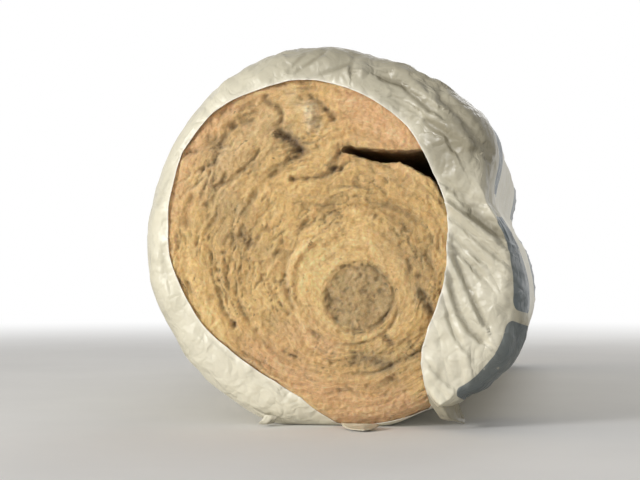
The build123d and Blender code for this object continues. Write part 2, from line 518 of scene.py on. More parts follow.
def wheel(directions: int, rings: int) -> BMesh:
    """Spins a row of vertices into an open tube round the Y axis.

    Args:
        directions: Number of steps round the axis.
        rings: Number of vertices in the row.

    Returns:
        A tube of radius 1, with ring k at y = k and its first vertex at direction 0.
    """
    tube = bmesh.new()
    row = bmesh.ops.create_vert(tube, co=(1.0, 0.0, 0.0))["vert"]
    for _ in range(rings - 1):
        row = bmesh.ops.extrude_vert_indiv(tube, verts=row)["verts"]
        bmesh.ops.translate(tube, verts=row, vec=(0.0, 1.0, 0.0))
    geom = tube.verts[:] + tube.edges[:]
    whole = {"angle": 2.0 * math.pi, "steps": directions, "use_merge": True}
    bmesh.ops.spin(tube, geom=geom, cent=(0.0, 0.0, 0.0), axis=(0.0, -1.0, 0.0), **whole)
    bmesh.ops.remove_doubles(tube, verts=tube.verts[:], dist=1e-4)
    return tube


def wheel_places(mesh: Mesh) -> tuple[Array, Array]:
    """Direction in degrees and ring of each vertex of a mesh made by wheel."""
    places = coordinates(mesh)
    return np.degrees(np.arctan2(places[:, 2], places[:, 0])) % 360.0, np.rint(places[:, 1]).astype(int)


def finished(source: Object, name: str) -> Mesh:
    """A new mesh with an object's modifiers applied. The object is removed.

    Args:
        source: Object with live modifiers.
        name: Name of the new mesh.

    Returns:
        The mesh.
    """
    graph = bpy.context.evaluated_depsgraph_get()
    mesh = bpy.data.meshes.new_from_object(source.evaluated_get(graph))
    mesh.name = name
    bpy.data.objects.remove(source)
    return mesh


def shown(name: str, data: bpy.types.ID) -> Object:
    """Puts a mesh, lamp or camera in the scene as an object at the origin.

    Args:
        name: Name of the object.
        data: What it holds.

    Returns:
        The object.
    """
    made = bpy.data.objects.new(name, data)
    bpy.context.scene.collection.objects.link(made)
    return made


@dataclass(frozen=True)
class Section:
    """The roll's outline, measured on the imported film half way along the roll."""

    centre: Pair
    radii: Array

    @classmethod
    def measured(cls, node: Object, centre: Pair, count: int = 720) -> "Section":
        """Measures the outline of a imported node.

        Args:
            node: The film sleeve.
            centre: Middle of the section, (x, z).
            count: Directions in which it is measured.

        Returns:
            The section.
        """
        shell = opened(node.data)
        tree = BVHTree.FromBMesh(shell)
        radii = []
        for k in range(count):
            turn = 2.0 * math.pi * k / count
            way = Vector((math.cos(turn), 0.0, math.sin(turn)))
            start = Vector((centre[0], 0.01, centre[1])) + way
            radii.append(1.0 - tree.ray_cast(start, -way)[3])
        shell.free()
        return cls(centre, np.array(radii))

    def reach(self, directions: Array) -> Array:
        """Distance from the middle to the outside in each direction, in metres."""
        known = np.arange(len(self.radii)) * 360.0 / len(self.radii)
        return np.interp(directions, known, self.radii, period=360.0)

    def polar(self, x: Array, z: Array) -> tuple[Array, Array]:
        """Direction in degrees and distance of each place from the middle."""
        dx, dz = x - self.centre[0], z - self.centre[1]
        return np.degrees(np.arctan2(dz, dx)), np.hypot(dx, dz)

    def place(self, directions: Array, radii: Array) -> tuple[Array, Array]:
        """x and z of the places at these directions and distances from the middle."""
        turn = np.radians(directions)
        return self.centre[0] + radii * np.cos(turn), self.centre[1] + radii * np.sin(turn)

    def lengths(self, directions: Array) -> Array:
        """Measures film round the outline.

        Args:
            directions: Directions in degrees.

        Returns:
            The length from direction 0 to each direction, in metres.
        """
        turn = np.linspace(-360.0, 720.0, 4321)
        x, z = self.place(turn, self.reach(turn))
        total = np.concatenate([[0.0], np.cumsum(np.hypot(np.diff(x), np.diff(z)))])
        return np.interp(directions, turn, total - np.interp(0.0, turn, total))


@dataclass(frozen=True)
class Spots:
    """Places on the wool, in metres, and where they lie in the coil."""

    x: Array
    z: Array
    share: Array
    direction: Array    # in degrees
    span: Array         # how far apart shares 0 and 1 are in that direction

    def chosen(self, rows: Array) -> "Spots":
        """The spots in the given rows."""
        return Spots(*(getattr(self, field.name)[rows] for field in fields(self)))


@dataclass(frozen=True)
class Coil:
    """The coil that the blanket makes: share 0 at the core's edge and 1 at the outside."""

    section: Section
    core_radius: float = 0.044
    core_aside: float = 0.049
    core_drop: float = 0.072
    parting_start: Pair = (87.0, 0.53)
    parting_turns: float = 1.8
    parting_easing: float = 1.35
    search_steps: int = 22

    def from_core(self, spots: Spots) -> tuple[Array, Array]:
        """How far spots lie aside of and above the middle of the core."""
        centre = self.section.centre
        return spots.x - centre[0] - self.core_aside, spots.z - centre[1] + self.core_drop

    def locate(self, x: Array, z: Array) -> Spots:
        """Finds places in the coil.

        Args:
            x: Places across the roll.
            z: Their heights.

        Returns:
            The spots.
        """
        low = np.full(x.shape, -0.6)
        high = np.full(x.shape, 1.1)
        for _ in range(self.search_steps):
            middle = (low + high) / 2.0
            direction, radius, span = self._seen_from(middle, x, z)
            outside = radius > self.core_radius + middle * span
            low = np.where(outside, middle, low)
            high = np.where(outside, high, middle)
        direction, _, span = self._seen_from(low, x, z)
        return Spots(x, z, low, direction, span)

    def _seen_from(self, share: Array, x: Array, z: Array) -> tuple[Array, Array, Array]:
        """Looks at places from the centre that belongs to each share.

        Args:
            share: The shares.
            x: Places across the roll.
            z: Their heights.

        Returns:
            Direction in degrees, distance, and how far apart shares 0 and 1 are.
        """
        sunk = 1.0 - np.clip(share, 0.0, 1.0)
        dx = x - self.section.centre[0] - self.core_aside * sunk
        dz = z - self.section.centre[1] + self.core_drop * sunk
        direction = np.degrees(np.arctan2(dz, dx))
        return direction, np.hypot(dx, dz), self.section.reach(direction) - self.core_radius

    def parting_distance(self, spots: Spots) -> Array:
        """Measures how far spots lie from the parting between the turns.

        Args:
            spots: The spots.

        Returns:
            The distances, in metres.
        """
        least = np.full(spots.share.shape, 1.0)
        for winding in range(3):
            turns = ((spots.direction - self.parting_start[0]) % 360.0) / 360.0 + winding
            inside = np.clip(turns / self.parting_turns, 0.0, 1.0)
            parting = self.parting_start[1] * (1.0 - inside**self.parting_easing)
            gap = np.abs(spots.share - parting) * spots.span
            least = np.where(turns <= self.parting_turns, np.minimum(least, gap), least)
        return least


class NodeBench:
    """Lays out the nodes of one material or node group."""

    def __init__(self, tree: bpy.types.NodeTree) -> None:
        """Takes over an empty or default node tree."""
        self.tree = tree
        tree.nodes.clear()

    def add(self, kind: str, sockets: dict | None = None, **settings: object) -> bpy.types.Node:
        """Adds a node.

        Args:
            kind: Blender's name of the node type.
            sockets: Plain values or output sockets for its inputs.
            settings: Properties of the node.

        Returns:
            The node.
        """
        node = self.tree.nodes.new(kind)
        for name, value in settings.items():
            setattr(node, name, value)
        for name, value in (sockets or {}).items():
            if isinstance(value, Socket):
                self.tree.links.new(value, node.inputs[name])
            else:
                node.inputs[name].default_value = value
        return node

    def group(self, tree: bpy.types.NodeTree, sockets: dict) -> Socket:
        """Adds a node group and returns its mask."""
        return self.add("ShaderNodeGroup", sockets, node_tree=tree).outputs["Mask"]

    def math(self, operation: str, first: object, second: object = 0.0) -> Socket:
        """Adds a Math node and returns its result."""
        return self.add("ShaderNodeMath", {0: first, 1: second}, operation=operation).outputs[0]

    def total(self, parts: list[object], shares: tuple[float, ...]) -> Socket:
        """Adds up values, each times its share, and returns the sum."""
        scaled = [self.math("MULTIPLY", part, share) for part, share in zip(parts, shares)]
        return reduce(lambda first, second: self.math("ADD", first, second), scaled)

    def off_half(self, value: object) -> Socket:
        """Returns how far a value is from one half, which gives noise sharp valleys."""
        return self.math("ABSOLUTE", self.math("SUBTRACT", value, 0.5))

    def noise(self, vector: object, scale: float = 1.0, detail: float = 4.0, rough: float = 0.6) -> Socket:
        """Adds a Noise Texture and returns its value."""
        sockets = {"Vector": vector, "Scale": scale, "Detail": detail, "Roughness": rough}
        return self.add("ShaderNodeTexNoise", sockets).outputs["Fac"]

    def bent(self, vector: object, place: object, scale: float, detail: float, share: float) -> Socket:
        """Mixes noise into a vector.

        Args:
            vector: The vector.
            place: Where the noise is read.
            scale: Its scale.
            detail: Its detail.
            share: Its share in the result.

        Returns:
            The bent vector.
        """
        sockets = {"Vector": place, "Scale": scale, "Detail": detail}
        wander = self.add("ShaderNodeTexNoise", sockets).outputs["Color"]
        return self.add("ShaderNodeMix", {0: share, 4: vector, 5: wander}, data_type="VECTOR").outputs[1]

    def stretched(self, vector: object, scale: Rgb) -> Socket:
        """Adds a Mapping node that scales a vector and returns the result."""
        return self.add("ShaderNodeMapping", {"Vector": vector, "Scale": scale}).outputs["Vector"]

    def ramp(self, value: object, low: float, high: float, start: float = 0.0, end: float = 1.0) -> Socket:
        """Adds a Map Range node that goes smoothly from start to end as the value goes from low to high."""
        sockets = {"Value": value, 1: low, 2: high, 3: start, 4: end}
        return self.add("ShaderNodeMapRange", sockets, interpolation_type="SMOOTHSTEP").outputs[0]

    def mix(self, share: object, first: object, second: object, blend: str = "MIX") -> Socket:
        """Adds a colour Mix node and returns its result."""
        node = self.add("ShaderNodeMix", {0: share, 6: first, 7: second}, data_type="RGBA", blend_type=blend)
        return node.outputs[2]

    def attribute(self, name: str, output: str = "Fac") -> Socket:
        """Adds an Attribute node and returns one of its outputs."""
        return self.add("ShaderNodeAttribute", attribute_name=name).outputs[output]

    def bump(self, height: object, strength: float, distance: float) -> Socket:
        """Adds a Bump node and returns its normal."""
        sockets = {"Strength": strength, "Distance": distance, "Height": height}
        return self.add("ShaderNodeBump", sockets).outputs[0]

    def principled(self, sockets: dict) -> Socket:
        """Adds a Principled BSDF and returns its shader."""
        return self.add("ShaderNodeBsdfPrincipled", sockets).outputs[0]

    def output(self, surface: object, kind: str = "ShaderNodeOutputMaterial") -> None:
        """Adds the output node and links a shader to it."""
        self.add(kind, {"Surface": surface})


def new_material(name: str) -> tuple[bpy.types.Material, NodeBench]:
    """Starts a material.

    Args:
        name: Name of the material.

    Returns:
        The material and its bench.
    """
    made = bpy.data.materials.new(name)
    made.use_nodes = True
    return made, NodeBench(made.node_tree)


def new_group(name: str, inputs: dict[str, str]) -> tuple[bpy.types.NodeTree, NodeBench]:
    """Starts a shader node group that puts out a mask.

    Args:
        name: Name of the group.
        inputs: Socket type of each input, such as NodeSocketFloat.

    Returns:
        The group and its bench.
    """
    group = bpy.data.node_groups.new(name, "ShaderNodeTree")
    for direction, sockets in (("INPUT", inputs), ("OUTPUT", {"Mask": "NodeSocketFloat"})):
        for label, kind in sockets.items():
            group.interface.new_socket(name=label, in_out=direction, socket_type=kind)
    return group, NodeBench(group)


def speckle_group() -> bpy.types.NodeTree:
    """Scattered specks of uneven size: pits in the wool, whose painted shade it places, and dirt on the film.

    Returns:
        A group with inputs Vector, Scale and Cover, and output Mask.
    """
    inputs = {"Vector": "NodeSocketVector", "Scale": "NodeSocketFloat", "Cover": "NodeSocketFloat"}
    group, bench = new_group("speckle", inputs)
    given = bench.add("NodeGroupInput").outputs
    spots = bench.noise(given["Vector"], given["Scale"], 5.0, 0.65)
    over = bench.math("SUBTRACT", spots, bench.math("SUBTRACT", 0.72, given["Cover"]))
    bench.add("NodeGroupOutput", {"Mask": bench.ramp(over, 0.0, 0.07)})
    return group


def block_group(corner: float = 0.012, edge: float = 0.0005) -> bpy.types.NodeTree:
    """A plain printed block with rounded corners.

    Args:
        corner: Radius of its corners, in metres.
        edge: How far its edge is blurred to either side.

    Returns:
        A group with inputs U, V, Across, Along, Wide and Long, and output Mask.
    """
    names = ("U", "V", "Across", "Along", "Wide", "Long")
    group, bench = new_group("printed_block", {name: "NodeSocketFloat" for name in names})
    given = bench.add("NodeGroupInput").outputs
    squares = []
    for place, middle, size in (("U", "Across", "Wide"), ("V", "Along", "Long")):
        away = bench.math("ABSOLUTE", bench.math("SUBTRACT", given[place], given[middle]))
        past = bench.math("SUBTRACT", away, bench.math("MULTIPLY", given[size], 0.5))
        side = bench.math("MAXIMUM", bench.math("ADD", past, corner), 0.0)
        squares.append(bench.math("MULTIPLY", side, side))
    beyond = bench.math("SQRT", bench.math("ADD", *squares))
    bench.add("NodeGroupOutput", {"Mask": bench.ramp(beyond, corner - edge, corner + edge, 1.0, 0.0)})
    return group


@dataclass(frozen=True)
class WoolFinish:
    """Golden glass wool: matt, fibrous, layered along the coil, with painted shade in its pits, creases and
    hollows.
    """

    speckle: bpy.types.NodeTree
    layer_scale: Rgb = (115.0, 8.0, 8.0)
    thread_scale: Rgb = (430.0, 75.0, 75.0)
    brightness: float = 1.21
    # How much layers, threads, tufts and crumbs count in the colour, and they, pits and strands in the height
    colour_shares: tuple[float, ...] = (1.10, 0.70, 0.50, 0.95)
    height_shares: tuple[float, ...] = (1.1, 0.60, 0.6, 1.1, -0.7, 0.22)
    # Powers of the brightness in red, green and blue, so that what lies deeper is also warmer: painted shade
    # that darkens and warms the wool where its relief is low
    deepening: Rgb = (1.0, 1.25, 1.7)
    strand: Rgba = (0.95, 0.665, 0.290, 1.0)
    # painted shade in the wool's pits
    pit: Rgba = (0.23, 0.130, 0.048, 1.0)
    shade: Rgba = (0.120, 0.062, 0.019, 1.0)

    def material(self) -> bpy.types.Material:
        """Builds the material.

        Returns:
            The material, which reads the tone, shade and coil attributes of the wool's mesh.
        """
        made, bench = new_material("glass_wool")
        place = bench.add("ShaderNodeTexCoord").outputs["Object"]
        bent = bench.bent(bench.attribute("coil", "Vector"), place, 26.0, 4.0, 0.026)
        relief = [
            bench.noise(bench.stretched(bent, self.layer_scale), detail=7.0, rough=0.66),
            bench.noise(bench.stretched(bent, self.thread_scale), detail=4.0, rough=0.7),
            bench.noise(place, 55.0, 7.0, 0.66),
            bench.noise(place, 190.0, 6.0, 0.7),
        ]
        # The relief that makes the bump also sets the colour: the wool's streaky tone, with painted shade where
        # the relief is low and painted light where it is high
        value = bench.total([bench.math("SUBTRACT", part, 0.5) for part in relief], self.colour_shares)
        value = bench.math("ADD", value, self.brightness)
        channels = [bench.math("POWER", value, power) for power in self.deepening]
        light = bench.add("ShaderNodeCombineColor", dict(enumerate(channels))).outputs[0]
        colour = bench.mix(1.0, bench.attribute("tone", "Color"), light, "MULTIPLY")
        strands = bench.math("MAXIMUM", self._strands(bench, place, 120.0), self._strands(bench, bent, 210.0))
        colour = bench.mix(bench.math("MULTIPLY", strands, 0.36), colour, self.strand)
        # painted shade in pits of two sizes
        pits = self._pits(bench, bench.stretched(bent, (1.0, 0.42, 0.42)), 135.0, 0.070)
        small = self._pits(bench, place, 330.0, 0.060)
        pit = bench.math("MAXIMUM", bench.math("MULTIPLY", pits, 0.75), bench.math("MULTIPLY", small, 0.45))
        colour = bench.mix(pit, colour, self.pit)
        colour = bench.mix(bench.attribute("shade"), colour, self.shade)
        sockets = {
            "Base Color": colour,
            "Roughness": 0.96,
            "Normal": bench.bump(bench.total([*relief, pit, strands], self.height_shares), 0.85, 0.005),
            "Specular IOR Level": 0.15,
            "Sheen Weight": 0.2,
            "Sheen Roughness": 0.6,
            "Subsurface Weight": 0.35,
            "Subsurface Radius": (1.0, 0.55, 0.25),
            "Subsurface Scale": 0.006,
        }
        bench.output(bench.principled(sockets))
        return made

    def _strands(self, bench: NodeBench, place: object, scale: float) -> Socket:
        """Adds loose curling fibres.

        Args:
            bench: The material's bench.
            place: Coordinates on which they lie.
            scale: How fine they are.

        Returns:
            1 on the fibres and 0 between them.
        """
        sockets = {"Vector": place, "Scale": scale, "Detail": 3.0, "Roughness": 0.6, "Distortion": 1.2}
        curl = bench.add("ShaderNodeTexNoise", sockets).outputs["Fac"]
        return bench.ramp(bench.off_half(curl), 0.0, 0.022, 1.0, 0.0)

    def _pits(self, bench: NodeBench, place: object, scale: float, cover: float) -> Socket:
        """Adds scattered pits and returns their mask, which paints shade into them."""
        return bench.group(self.speckle, {"Vector": place, "Scale": scale, "Cover": cover})


class Ink(Enum):
    """Printing inks of the film, in linear light."""

    SLATE = (0.085, 0.110, 0.122, 1.0)
    RED = (0.420, 0.085, 0.060, 1.0)
    TEAL = (0.060, 0.170, 0.210, 1.0)
    GREEN = (0.160, 0.270, 0.100, 1.0)


@dataclass(frozen=True)
class Print:
    """A plain rounded block printed on the film, placed by its middle on the unrolled film. Metres."""

    ink: Ink
    across: float
    along: float
    wide: float
    long: float


PRINTS = (
    Print(Ink.SLATE, -0.170, 0.026, 0.125, 0.176),
    Print(Ink.SLATE, -0.030, 0.040, 0.125, 0.190),
    Print(Ink.SLATE, 0.145, 0.110, 0.150, 0.170),
    Print(Ink.SLATE, -0.170, 1.060, 0.125, 0.170),
    Print(Ink.SLATE, -0.030, 1.050, 0.125, 0.190),
    Print(Ink.SLATE, 0.145, 1.040, 0.150, 0.170),
    Print(Ink.RED, 0.520, 0.585, 0.085, 0.400),
    Print(Ink.TEAL, 0.405, 0.470, 0.075, 0.170),
    Print(Ink.GREEN, 0.405, 0.690, 0.032, 0.190),
)


@dataclass(frozen=True)
class FilmFinish:
    """Off-white polythene film: softly glossy, finely creased, with plain printed blocks, greyed by dust and
    painted shade, with painted shade along its creases and a painted highlight along its cut edge.
    """

    speckle: bpy.types.NodeTree
    block: bpy.types.NodeTree
    white: Rgba = (0.735, 0.687, 0.528, 1.0)
    cloudy: Rgba = (0.695, 0.650, 0.520, 1.0)
    # painted shade, with some dust: greys the top, the flap, its folds and the side turned from the light
    stain: Rgba = (0.272, 0.243, 0.170, 1.0)
    # painted shade along the crumples' creases
    crease: Rgba = (0.455, 0.425, 0.345, 1.0)
    dirt: Rgba = (0.36, 0.31, 0.23, 1.0)
    # painted highlight along the film's cut edge
    hem: Rgba = (0.90, 0.86, 0.76, 1.0)
    # How much wide and close crumples, fine grain and drawn creases count in the height
    height_shares: tuple[float, ...] = (1.0, 0.45, 0.12, 3.0)

    def material(self) -> bpy.types.Material:
        """Builds the material.

        Returns:
            The material, which reads the film's UV map in metres and its attributes.
        """
        made, bench = new_material("wrapping_film")
        place = bench.add("ShaderNodeTexCoord").outputs
        spread = bench.add("ShaderNodeSeparateXYZ", {0: place["UV"]}).outputs
        cloud = bench.noise(place["Object"], 9.0)
        fine = bench.noise(place["Object"], 70.0, 5.0)
        crumpled = bench.bent(place["Object"], place["Object"], 12.0, 3.0, 0.07)
        wide, close = (self._crumples(bench, crumpled, scale) for scale in (19.0, 52.0))
        colour = bench.mix(bench.ramp(cloud, 0.38, 0.66, 0.0, 0.6), self.white, self.cloudy)
        # painted shade on the top, the flap, its folds and the side turned from the light, with some dust
        colour = bench.mix(bench.attribute("stain"), colour, self.stain)
        # painted shade along the creases between crumples
        crease_shade_lines = (bench.ramp(wide, 0.0, 0.035, 0.08, 0.0), bench.ramp(close, 0.0, 0.04, 0.05, 0.0))
        colour = bench.mix(bench.math("MAXIMUM", *crease_shade_lines), colour, self.crease)
        unworn = bench.math("MULTIPLY", bench.ramp(fine, 0.26, 0.36), bench.ramp(cloud, 0.3, 0.7, 1.0, 0.86))
        for printed in PRINTS:
            inked = bench.math("MULTIPLY", self._block(bench, spread, printed), unworn)
            colour = bench.mix(inked, colour, printed.ink.value)
        dirt = bench.group(self.speckle, {"Vector": place["Object"], "Scale": 55.0, "Cover": 0.0})
        colour = bench.mix(bench.math("MULTIPLY", dirt, 0.35), colour, self.dirt)
        # painted highlight along the cut edge
        colour = bench.mix(bench.attribute("hem"), colour, self.hem)
        drawn = bench.off_half(bench.noise(bench.stretched(crumpled, (7.0, 24.0, 7.0)), rough=0.55))
        height = bench.total([wide, close, fine, drawn], self.height_shares)
        height = bench.math("MULTIPLY", height, bench.attribute("crumple"))
        fan = bench.stretched(bench.attribute("fan", "Vector"), (6.5, 7.0, 7.0))
        pleats = bench.math("MULTIPLY", bench.off_half(bench.noise(fan, detail=1.0, rough=0.5)), 1.3)
        pleats = bench.math("MULTIPLY", pleats, bench.attribute("pulled"))
        sockets = {
            "Base Color": colour,
            "Roughness": bench.ramp(fine, 0.3, 0.7, 0.30, 0.46),
            "Normal": bench.bump(bench.math("ADD", height, pleats), 1.0, 0.010),
            "Specular IOR Level": 0.5,
        }
        bench.output(bench.principled(sockets))
        return made

    def _block(self, bench: NodeBench, spread: object, printed: Print) -> Socket:
        """Adds one printed block to the separate coordinates of the UV map, and returns its mask."""
        sockets = {"U": spread[0], "V": spread[1], "Across": printed.across, "Along": printed.along}
        return bench.group(self.block, {**sockets, "Wide": printed.wide, "Long": printed.long})

    def _crumples(self, bench: NodeBench, vector: object, scale: float) -> Socket:
        """Adds flat-sided crumples and returns the distance from their creases."""
        sockets = {"Vector": vector, "Scale": scale}
        return bench.add("ShaderNodeTexVoronoi", sockets, feature="DISTANCE_TO_EDGE").outputs["Distance"]


@dataclass
class WoolBlanket:
    """The wound blanket: a body with its hollow, and two ends of close mesh that carry the relief."""

    coil: Coil
    name: str = "wool_roll"
    body_directions: int = 240
    shoulder_rings: int = 9
    end_depth: float = 0.042            # how far the close mesh and the relief reach in from each end
    end_lap: float = 0.004
    part_lap: float = 0.002
    front_voxel: float = 0.0019
    back_voxel: float = 0.0034
    hollow_columns: int = 36
    hollow_length: float = 1.4
    # Direction in degrees and share of the way from the section's middle to its outside
    hollow_floor: tuple[Pair, ...] = (
        (-9.0, 1.06), (6.0, 0.87), (19.0, 0.73), (33.0, 0.595), (53.0, 0.500), (66.0, 0.475), (77.0, 0.470),
    )
    hollow_roof: tuple[Pair, ...] = (
        (77.0, 0.500), (66.0, 0.525), (57.0, 0.555), (48.0, 0.60), (40.0, 0.69), (33.0, 1.08),
    )
    hollow_directions: Pair = (-12.0, 78.0)
    hollow_margin: float = 0.05         # share within which the wool counts as the hollow's wall
    under_flap: Pair = (-56.0, 44.0)    # directions in which the flap stands off the wool
    flap_gap: float = 0.012             # how far the wool is bare under it
    back_cover: float = 0.052           # width of the wool that the back collar covers
    cover_blur: float = 0.004
    middle_shade: float = 0.25

    def build(self, finish: WoolFinish) -> Object:
        """Builds and dresses the blanket.

        Args:
            finish: The wool's finish.

        Returns:
            The piece.
        """
        body = self._body()
        inner = HALF_LENGTH - self.end_depth + self.end_lap
        outer = HALF_LENGTH + 0.01
        parts = (
            self._close_end(body, -outer, -inner, self.front_voxel),
            self._slice(body, -inner - self.part_lap, inner + self.part_lap),
            self._close_end(body, inner, outer, self.back_voxel),
        )
        mesh = settled(opened(*parts), self.name)
        self._relieve(mesh)
        mesh.polygons.foreach_set("use_smooth", [True] * len(mesh.polygons))
        piece = shown(self.name, mesh)
        piece.data.materials.append(finish.material())
        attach(piece, "root")
        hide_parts("wool_blanket")
        return piece

    def _body(self) -> Mesh:
        """The blanket's plain form, rounded at the ends and cut by the hollow.

        Returns:
            A new mesh.
        """
        radius = SHOULDER - FILM_GAP
        quarter = np.linspace(0.0, QUARTER_TURN, self.shoulder_rings)
        rounding = radius * (1.0 - np.sin(quarter))
        inset = np.concatenate([rounding, rounding[::-1]])
        reach_y = HALF_LENGTH - FILM_GAP - radius + radius * np.cos(quarter)
        stations = np.concatenate([-reach_y, reach_y[::-1]])
        tube = wheel(self.body_directions, len(stations))
        bmesh.ops.holes_fill(tube, edges=[e for e in tube.edges if e.is_boundary], sides=0)
        mesh = settled(tube, "plain_body")
        directions, rings = wheel_places(mesh)
        section = self.coil.section
        x, z = section.place(directions, section.reach(directions) - FILM_GAP - inset[rings])
        set_coordinates(mesh, np.stack([x, stations[rings], z], axis=1))
        body = shown("plain_body", settled(face_outward(opened(mesh)), mesh))
        cutter = self._hollow()
        cut = body.modifiers.new("hollow", "BOOLEAN")
        cut.operation = "DIFFERENCE"
        cut.solver = "EXACT"
        cut.object = cutter
        made = finished(body, "cut_body")
        bpy.data.objects.remove(cutter)
        return made

    def _hollow(self) -> Object:
        """The form that cuts the hollow beside the blanket's outer end.

        Returns:
            A closed object that runs past both ends of the roll.
        """
        strip = bmesh.new()
        bmesh.ops.create_grid(strip, x_segments=self.hollow_columns, y_segments=1, size=1.0)
        made = bmesh.ops.extrude_face_region(strip, geom=strip.faces[:])["geom"]
        raised = [item for item in made if isinstance(item, bmesh.types.BMVert)]
        bmesh.ops.translate(strip, verts=raised, vec=(0.0, 0.0, 1.0))
        mesh = settled(face_outward(strip), "hollow_cutter")
        places = coordinates(mesh)
        inward = (places[:, 0] + 1.0) / 2.0
        section = self.coil.section
        sides = []
        for table in (self.hollow_floor, self.hollow_roof[::-1]):
            steps = inward * (len(table) - 1)
            direction, share = (np.interp(steps, range(len(table)), column) for column in np.array(table).T)
            sides.append(section.place(direction, share * section.reach(direction)))
        x, z = np.where(places[:, 1] < 0.0, *sides)
        z = z + grain(flat_rows(x, z) * 60.0, 2, 4.0) * 0.003
        set_coordinates(mesh, np.stack([x, (places[:, 2] - 0.5) * self.hollow_length, z], axis=1))
        return shown("hollow_cutter", settled(face_outward(opened(mesh)), mesh))

    def _cap(self, shell: BMesh) -> BMesh:
        """Closes the open ends of a bmesh and turns its faces outwards.

        Args:
            shell: The bmesh.

        Returns:
            The same bmesh.
        """
        rims = [edge for edge in shell.edges if edge.is_boundary]
        bmesh.ops.holes_fill(shell, edges=rims, sides=0)
        for edge in rims:
            edge.smooth = False
        return face_outward(shell)

    def _slice(self, body: Mesh, start: float, finish: float) -> Mesh:
        """The part of the body between two stations, closed where it is cut.

        Args:
            body: The whole body.
            start: Lower station along Y.
            finish: Upper station.

        Returns:
            A new mesh.
        """
        part = opened(body)
        for station, way in ((start, -1.0), (finish, 1.0)):
            geom = part.verts[:] + part.edges[:] + part.faces[:]
            plane = {"plane_co": (0.0, station, 0.0), "plane_no": (0.0, way, 0.0)}
            bmesh.ops.bisect_plane(part, geom=geom, clear_outer=True, **plane)
        return settled(self._cap(part), "slice")

    def _close_end(self, body: Mesh, start: float, finish: float, voxel: float) -> Mesh:
        """One end of the body in an even, close mesh, with one face where it meets the middle.

        Args:
            body: The whole body.
            start: Lower station along Y.
            finish: Upper station.
            voxel: Size of the mesh's squares.

        Returns:
            A new mesh.
        """
        part = shown("end_part", self._slice(body, start, finish))
        remesh = part.modifiers.new("even_mesh", "REMESH")
        remesh.mode = "VOXEL"
        remesh.voxel_size = voxel
        even = opened(finished(part, "end_part"))
        cut = start if abs(start) < abs(finish) else finish
        waste = [face for face in even.faces if abs(face.calc_center_median().y - cut) < voxel * 0.7]
        bmesh.ops.delete(even, geom=waste, context="FACES")
        return settled(self._cap(even), "close_end")

    def _relieve(self, mesh: Mesh) -> None:
        """Moves the vertices of both ends into folds, layers and pits, and stores what the finish reads.

        Args:
            mesh: The whole blanket.
        """
        places = coordinates(mesh)
        normals = read_out(mesh.vertex_normals, "vector")
        x, y, z = places.T
        spots = self.coil.locate(x, z)
        coil_at = self._coil_places(spots)
        tone = np.tile(np.array(Tone.GOLD.value), (len(x), 1))
        shade = np.zeros(len(x))
        move = np.zeros((len(x), 3))
        for end in End:
            side = end.value
            near = np.flatnonzero((y * side) > HALF_LENGTH - self.end_depth - MM)
            here = spots.chosen(near)
            facing = smooth_step(0.35, 0.85, normals[near, 1] * side)
            depth, dark, colour = self._ends_relief(end, here, coil_at[near])
            bare = self._bare(end, here)
            move[near, 1] = -side * depth * facing * bare
            rag = grain(places[near] * 110.0, 3, 8.0) * 0.0020 + grain(places[near] * 260.0, 2, 8.5) * 0.0008
            move[near] += normals[near] * (rag * ((1.0 - facing) * bare))[:, None]
            deep = np.maximum(HALF_LENGTH - FILM_GAP - y[near] * side, 0.0)
            # painted shade on the hollow's walls, darker further in
            inside = self._in_hollow(here) * (0.02 + 0.16 * smooth_step(0.004, 0.042, deep))
            shade[near] = np.clip(dark * facing + inside * (1.0 - facing), 0.0, 0.9)
            tone[near] = colour
        shade[np.abs(y) < HALF_LENGTH - self.end_depth] = self.middle_shade
        set_coordinates(mesh, places + move)
        store(mesh, coil=coil_at, shade=shade, tone=np.concatenate([tone, np.ones((len(x), 1))], axis=1))

    def _coil_places(self, spots: Spots) -> Array:
        """Coordinates that follow the layers of the coil and, on the core, its own middle.

        Args:
            spots: The spots.

        Returns:
            Rows of three coordinates, of which the first runs out across the layers.
        """
        turn = np.radians(spots.direction)
        flat = flat_rows(spots.x, spots.z)
        wander = grain(flat * 14.0, 2, 1.0) * 0.007 + grain(flat * 34.0, 2, 2.0) * 0.003
        across = self.coil.core_radius + spots.share * spots.span + wander
        coil_at = np.stack([across, np.cos(turn) * 0.11, np.sin(turn) * 0.11], axis=1)
        aside, above = self.coil.from_core(spots)
        core_at = np.stack([aside * 0.5 + 0.03, above * 3.0, aside * 3.0], axis=1)
        return coil_at + (core_at - coil_at) * smooth_fall(-0.04, 0.02, spots.share)[:, None]

    def _in_hollow(self, spots: Spots) -> Array:
        """Finds the walls of the hollow.

        Args:
            spots: The spots.

        Returns:
            1 near the walls and 0 elsewhere.
        """
        seen, radius = self.coil.section.polar(spots.x, spots.z)
        share = radius / self.coil.section.reach(seen)
        floor, roof = (np.interp(seen, *np.array(t).T) for t in (self.hollow_floor, self.hollow_roof[::-1]))
        facing = (seen > self.hollow_directions[0]) & (seen < self.hollow_directions[1])
        between = (share > floor - self.hollow_margin) & (share < roof + self.hollow_margin)
        return (facing & between).astype(float)

    def _bare(self, end: End, spots: Spots) -> Array:
        """Finds the wool that no film lies on.

        Args:
            end: Which end.
            spots: The spots.

        Returns:
            1 where the wool shows, and 0 where the film lies on it.
        """
        direction, radius = self.coil.section.polar(spots.x, spots.z)
        if end is End.FRONT:
            under = (direction > self.under_flap[0]) & (direction < self.under_flap[1])
            edge = along_table(FREE_EDGE, direction) + under.astype(float) * self.flap_gap
        else:
            edge = self.coil.section.reach(direction) - self.back_cover
        return smooth_fall(-self.cover_blur, self.cover_blur, radius - edge)

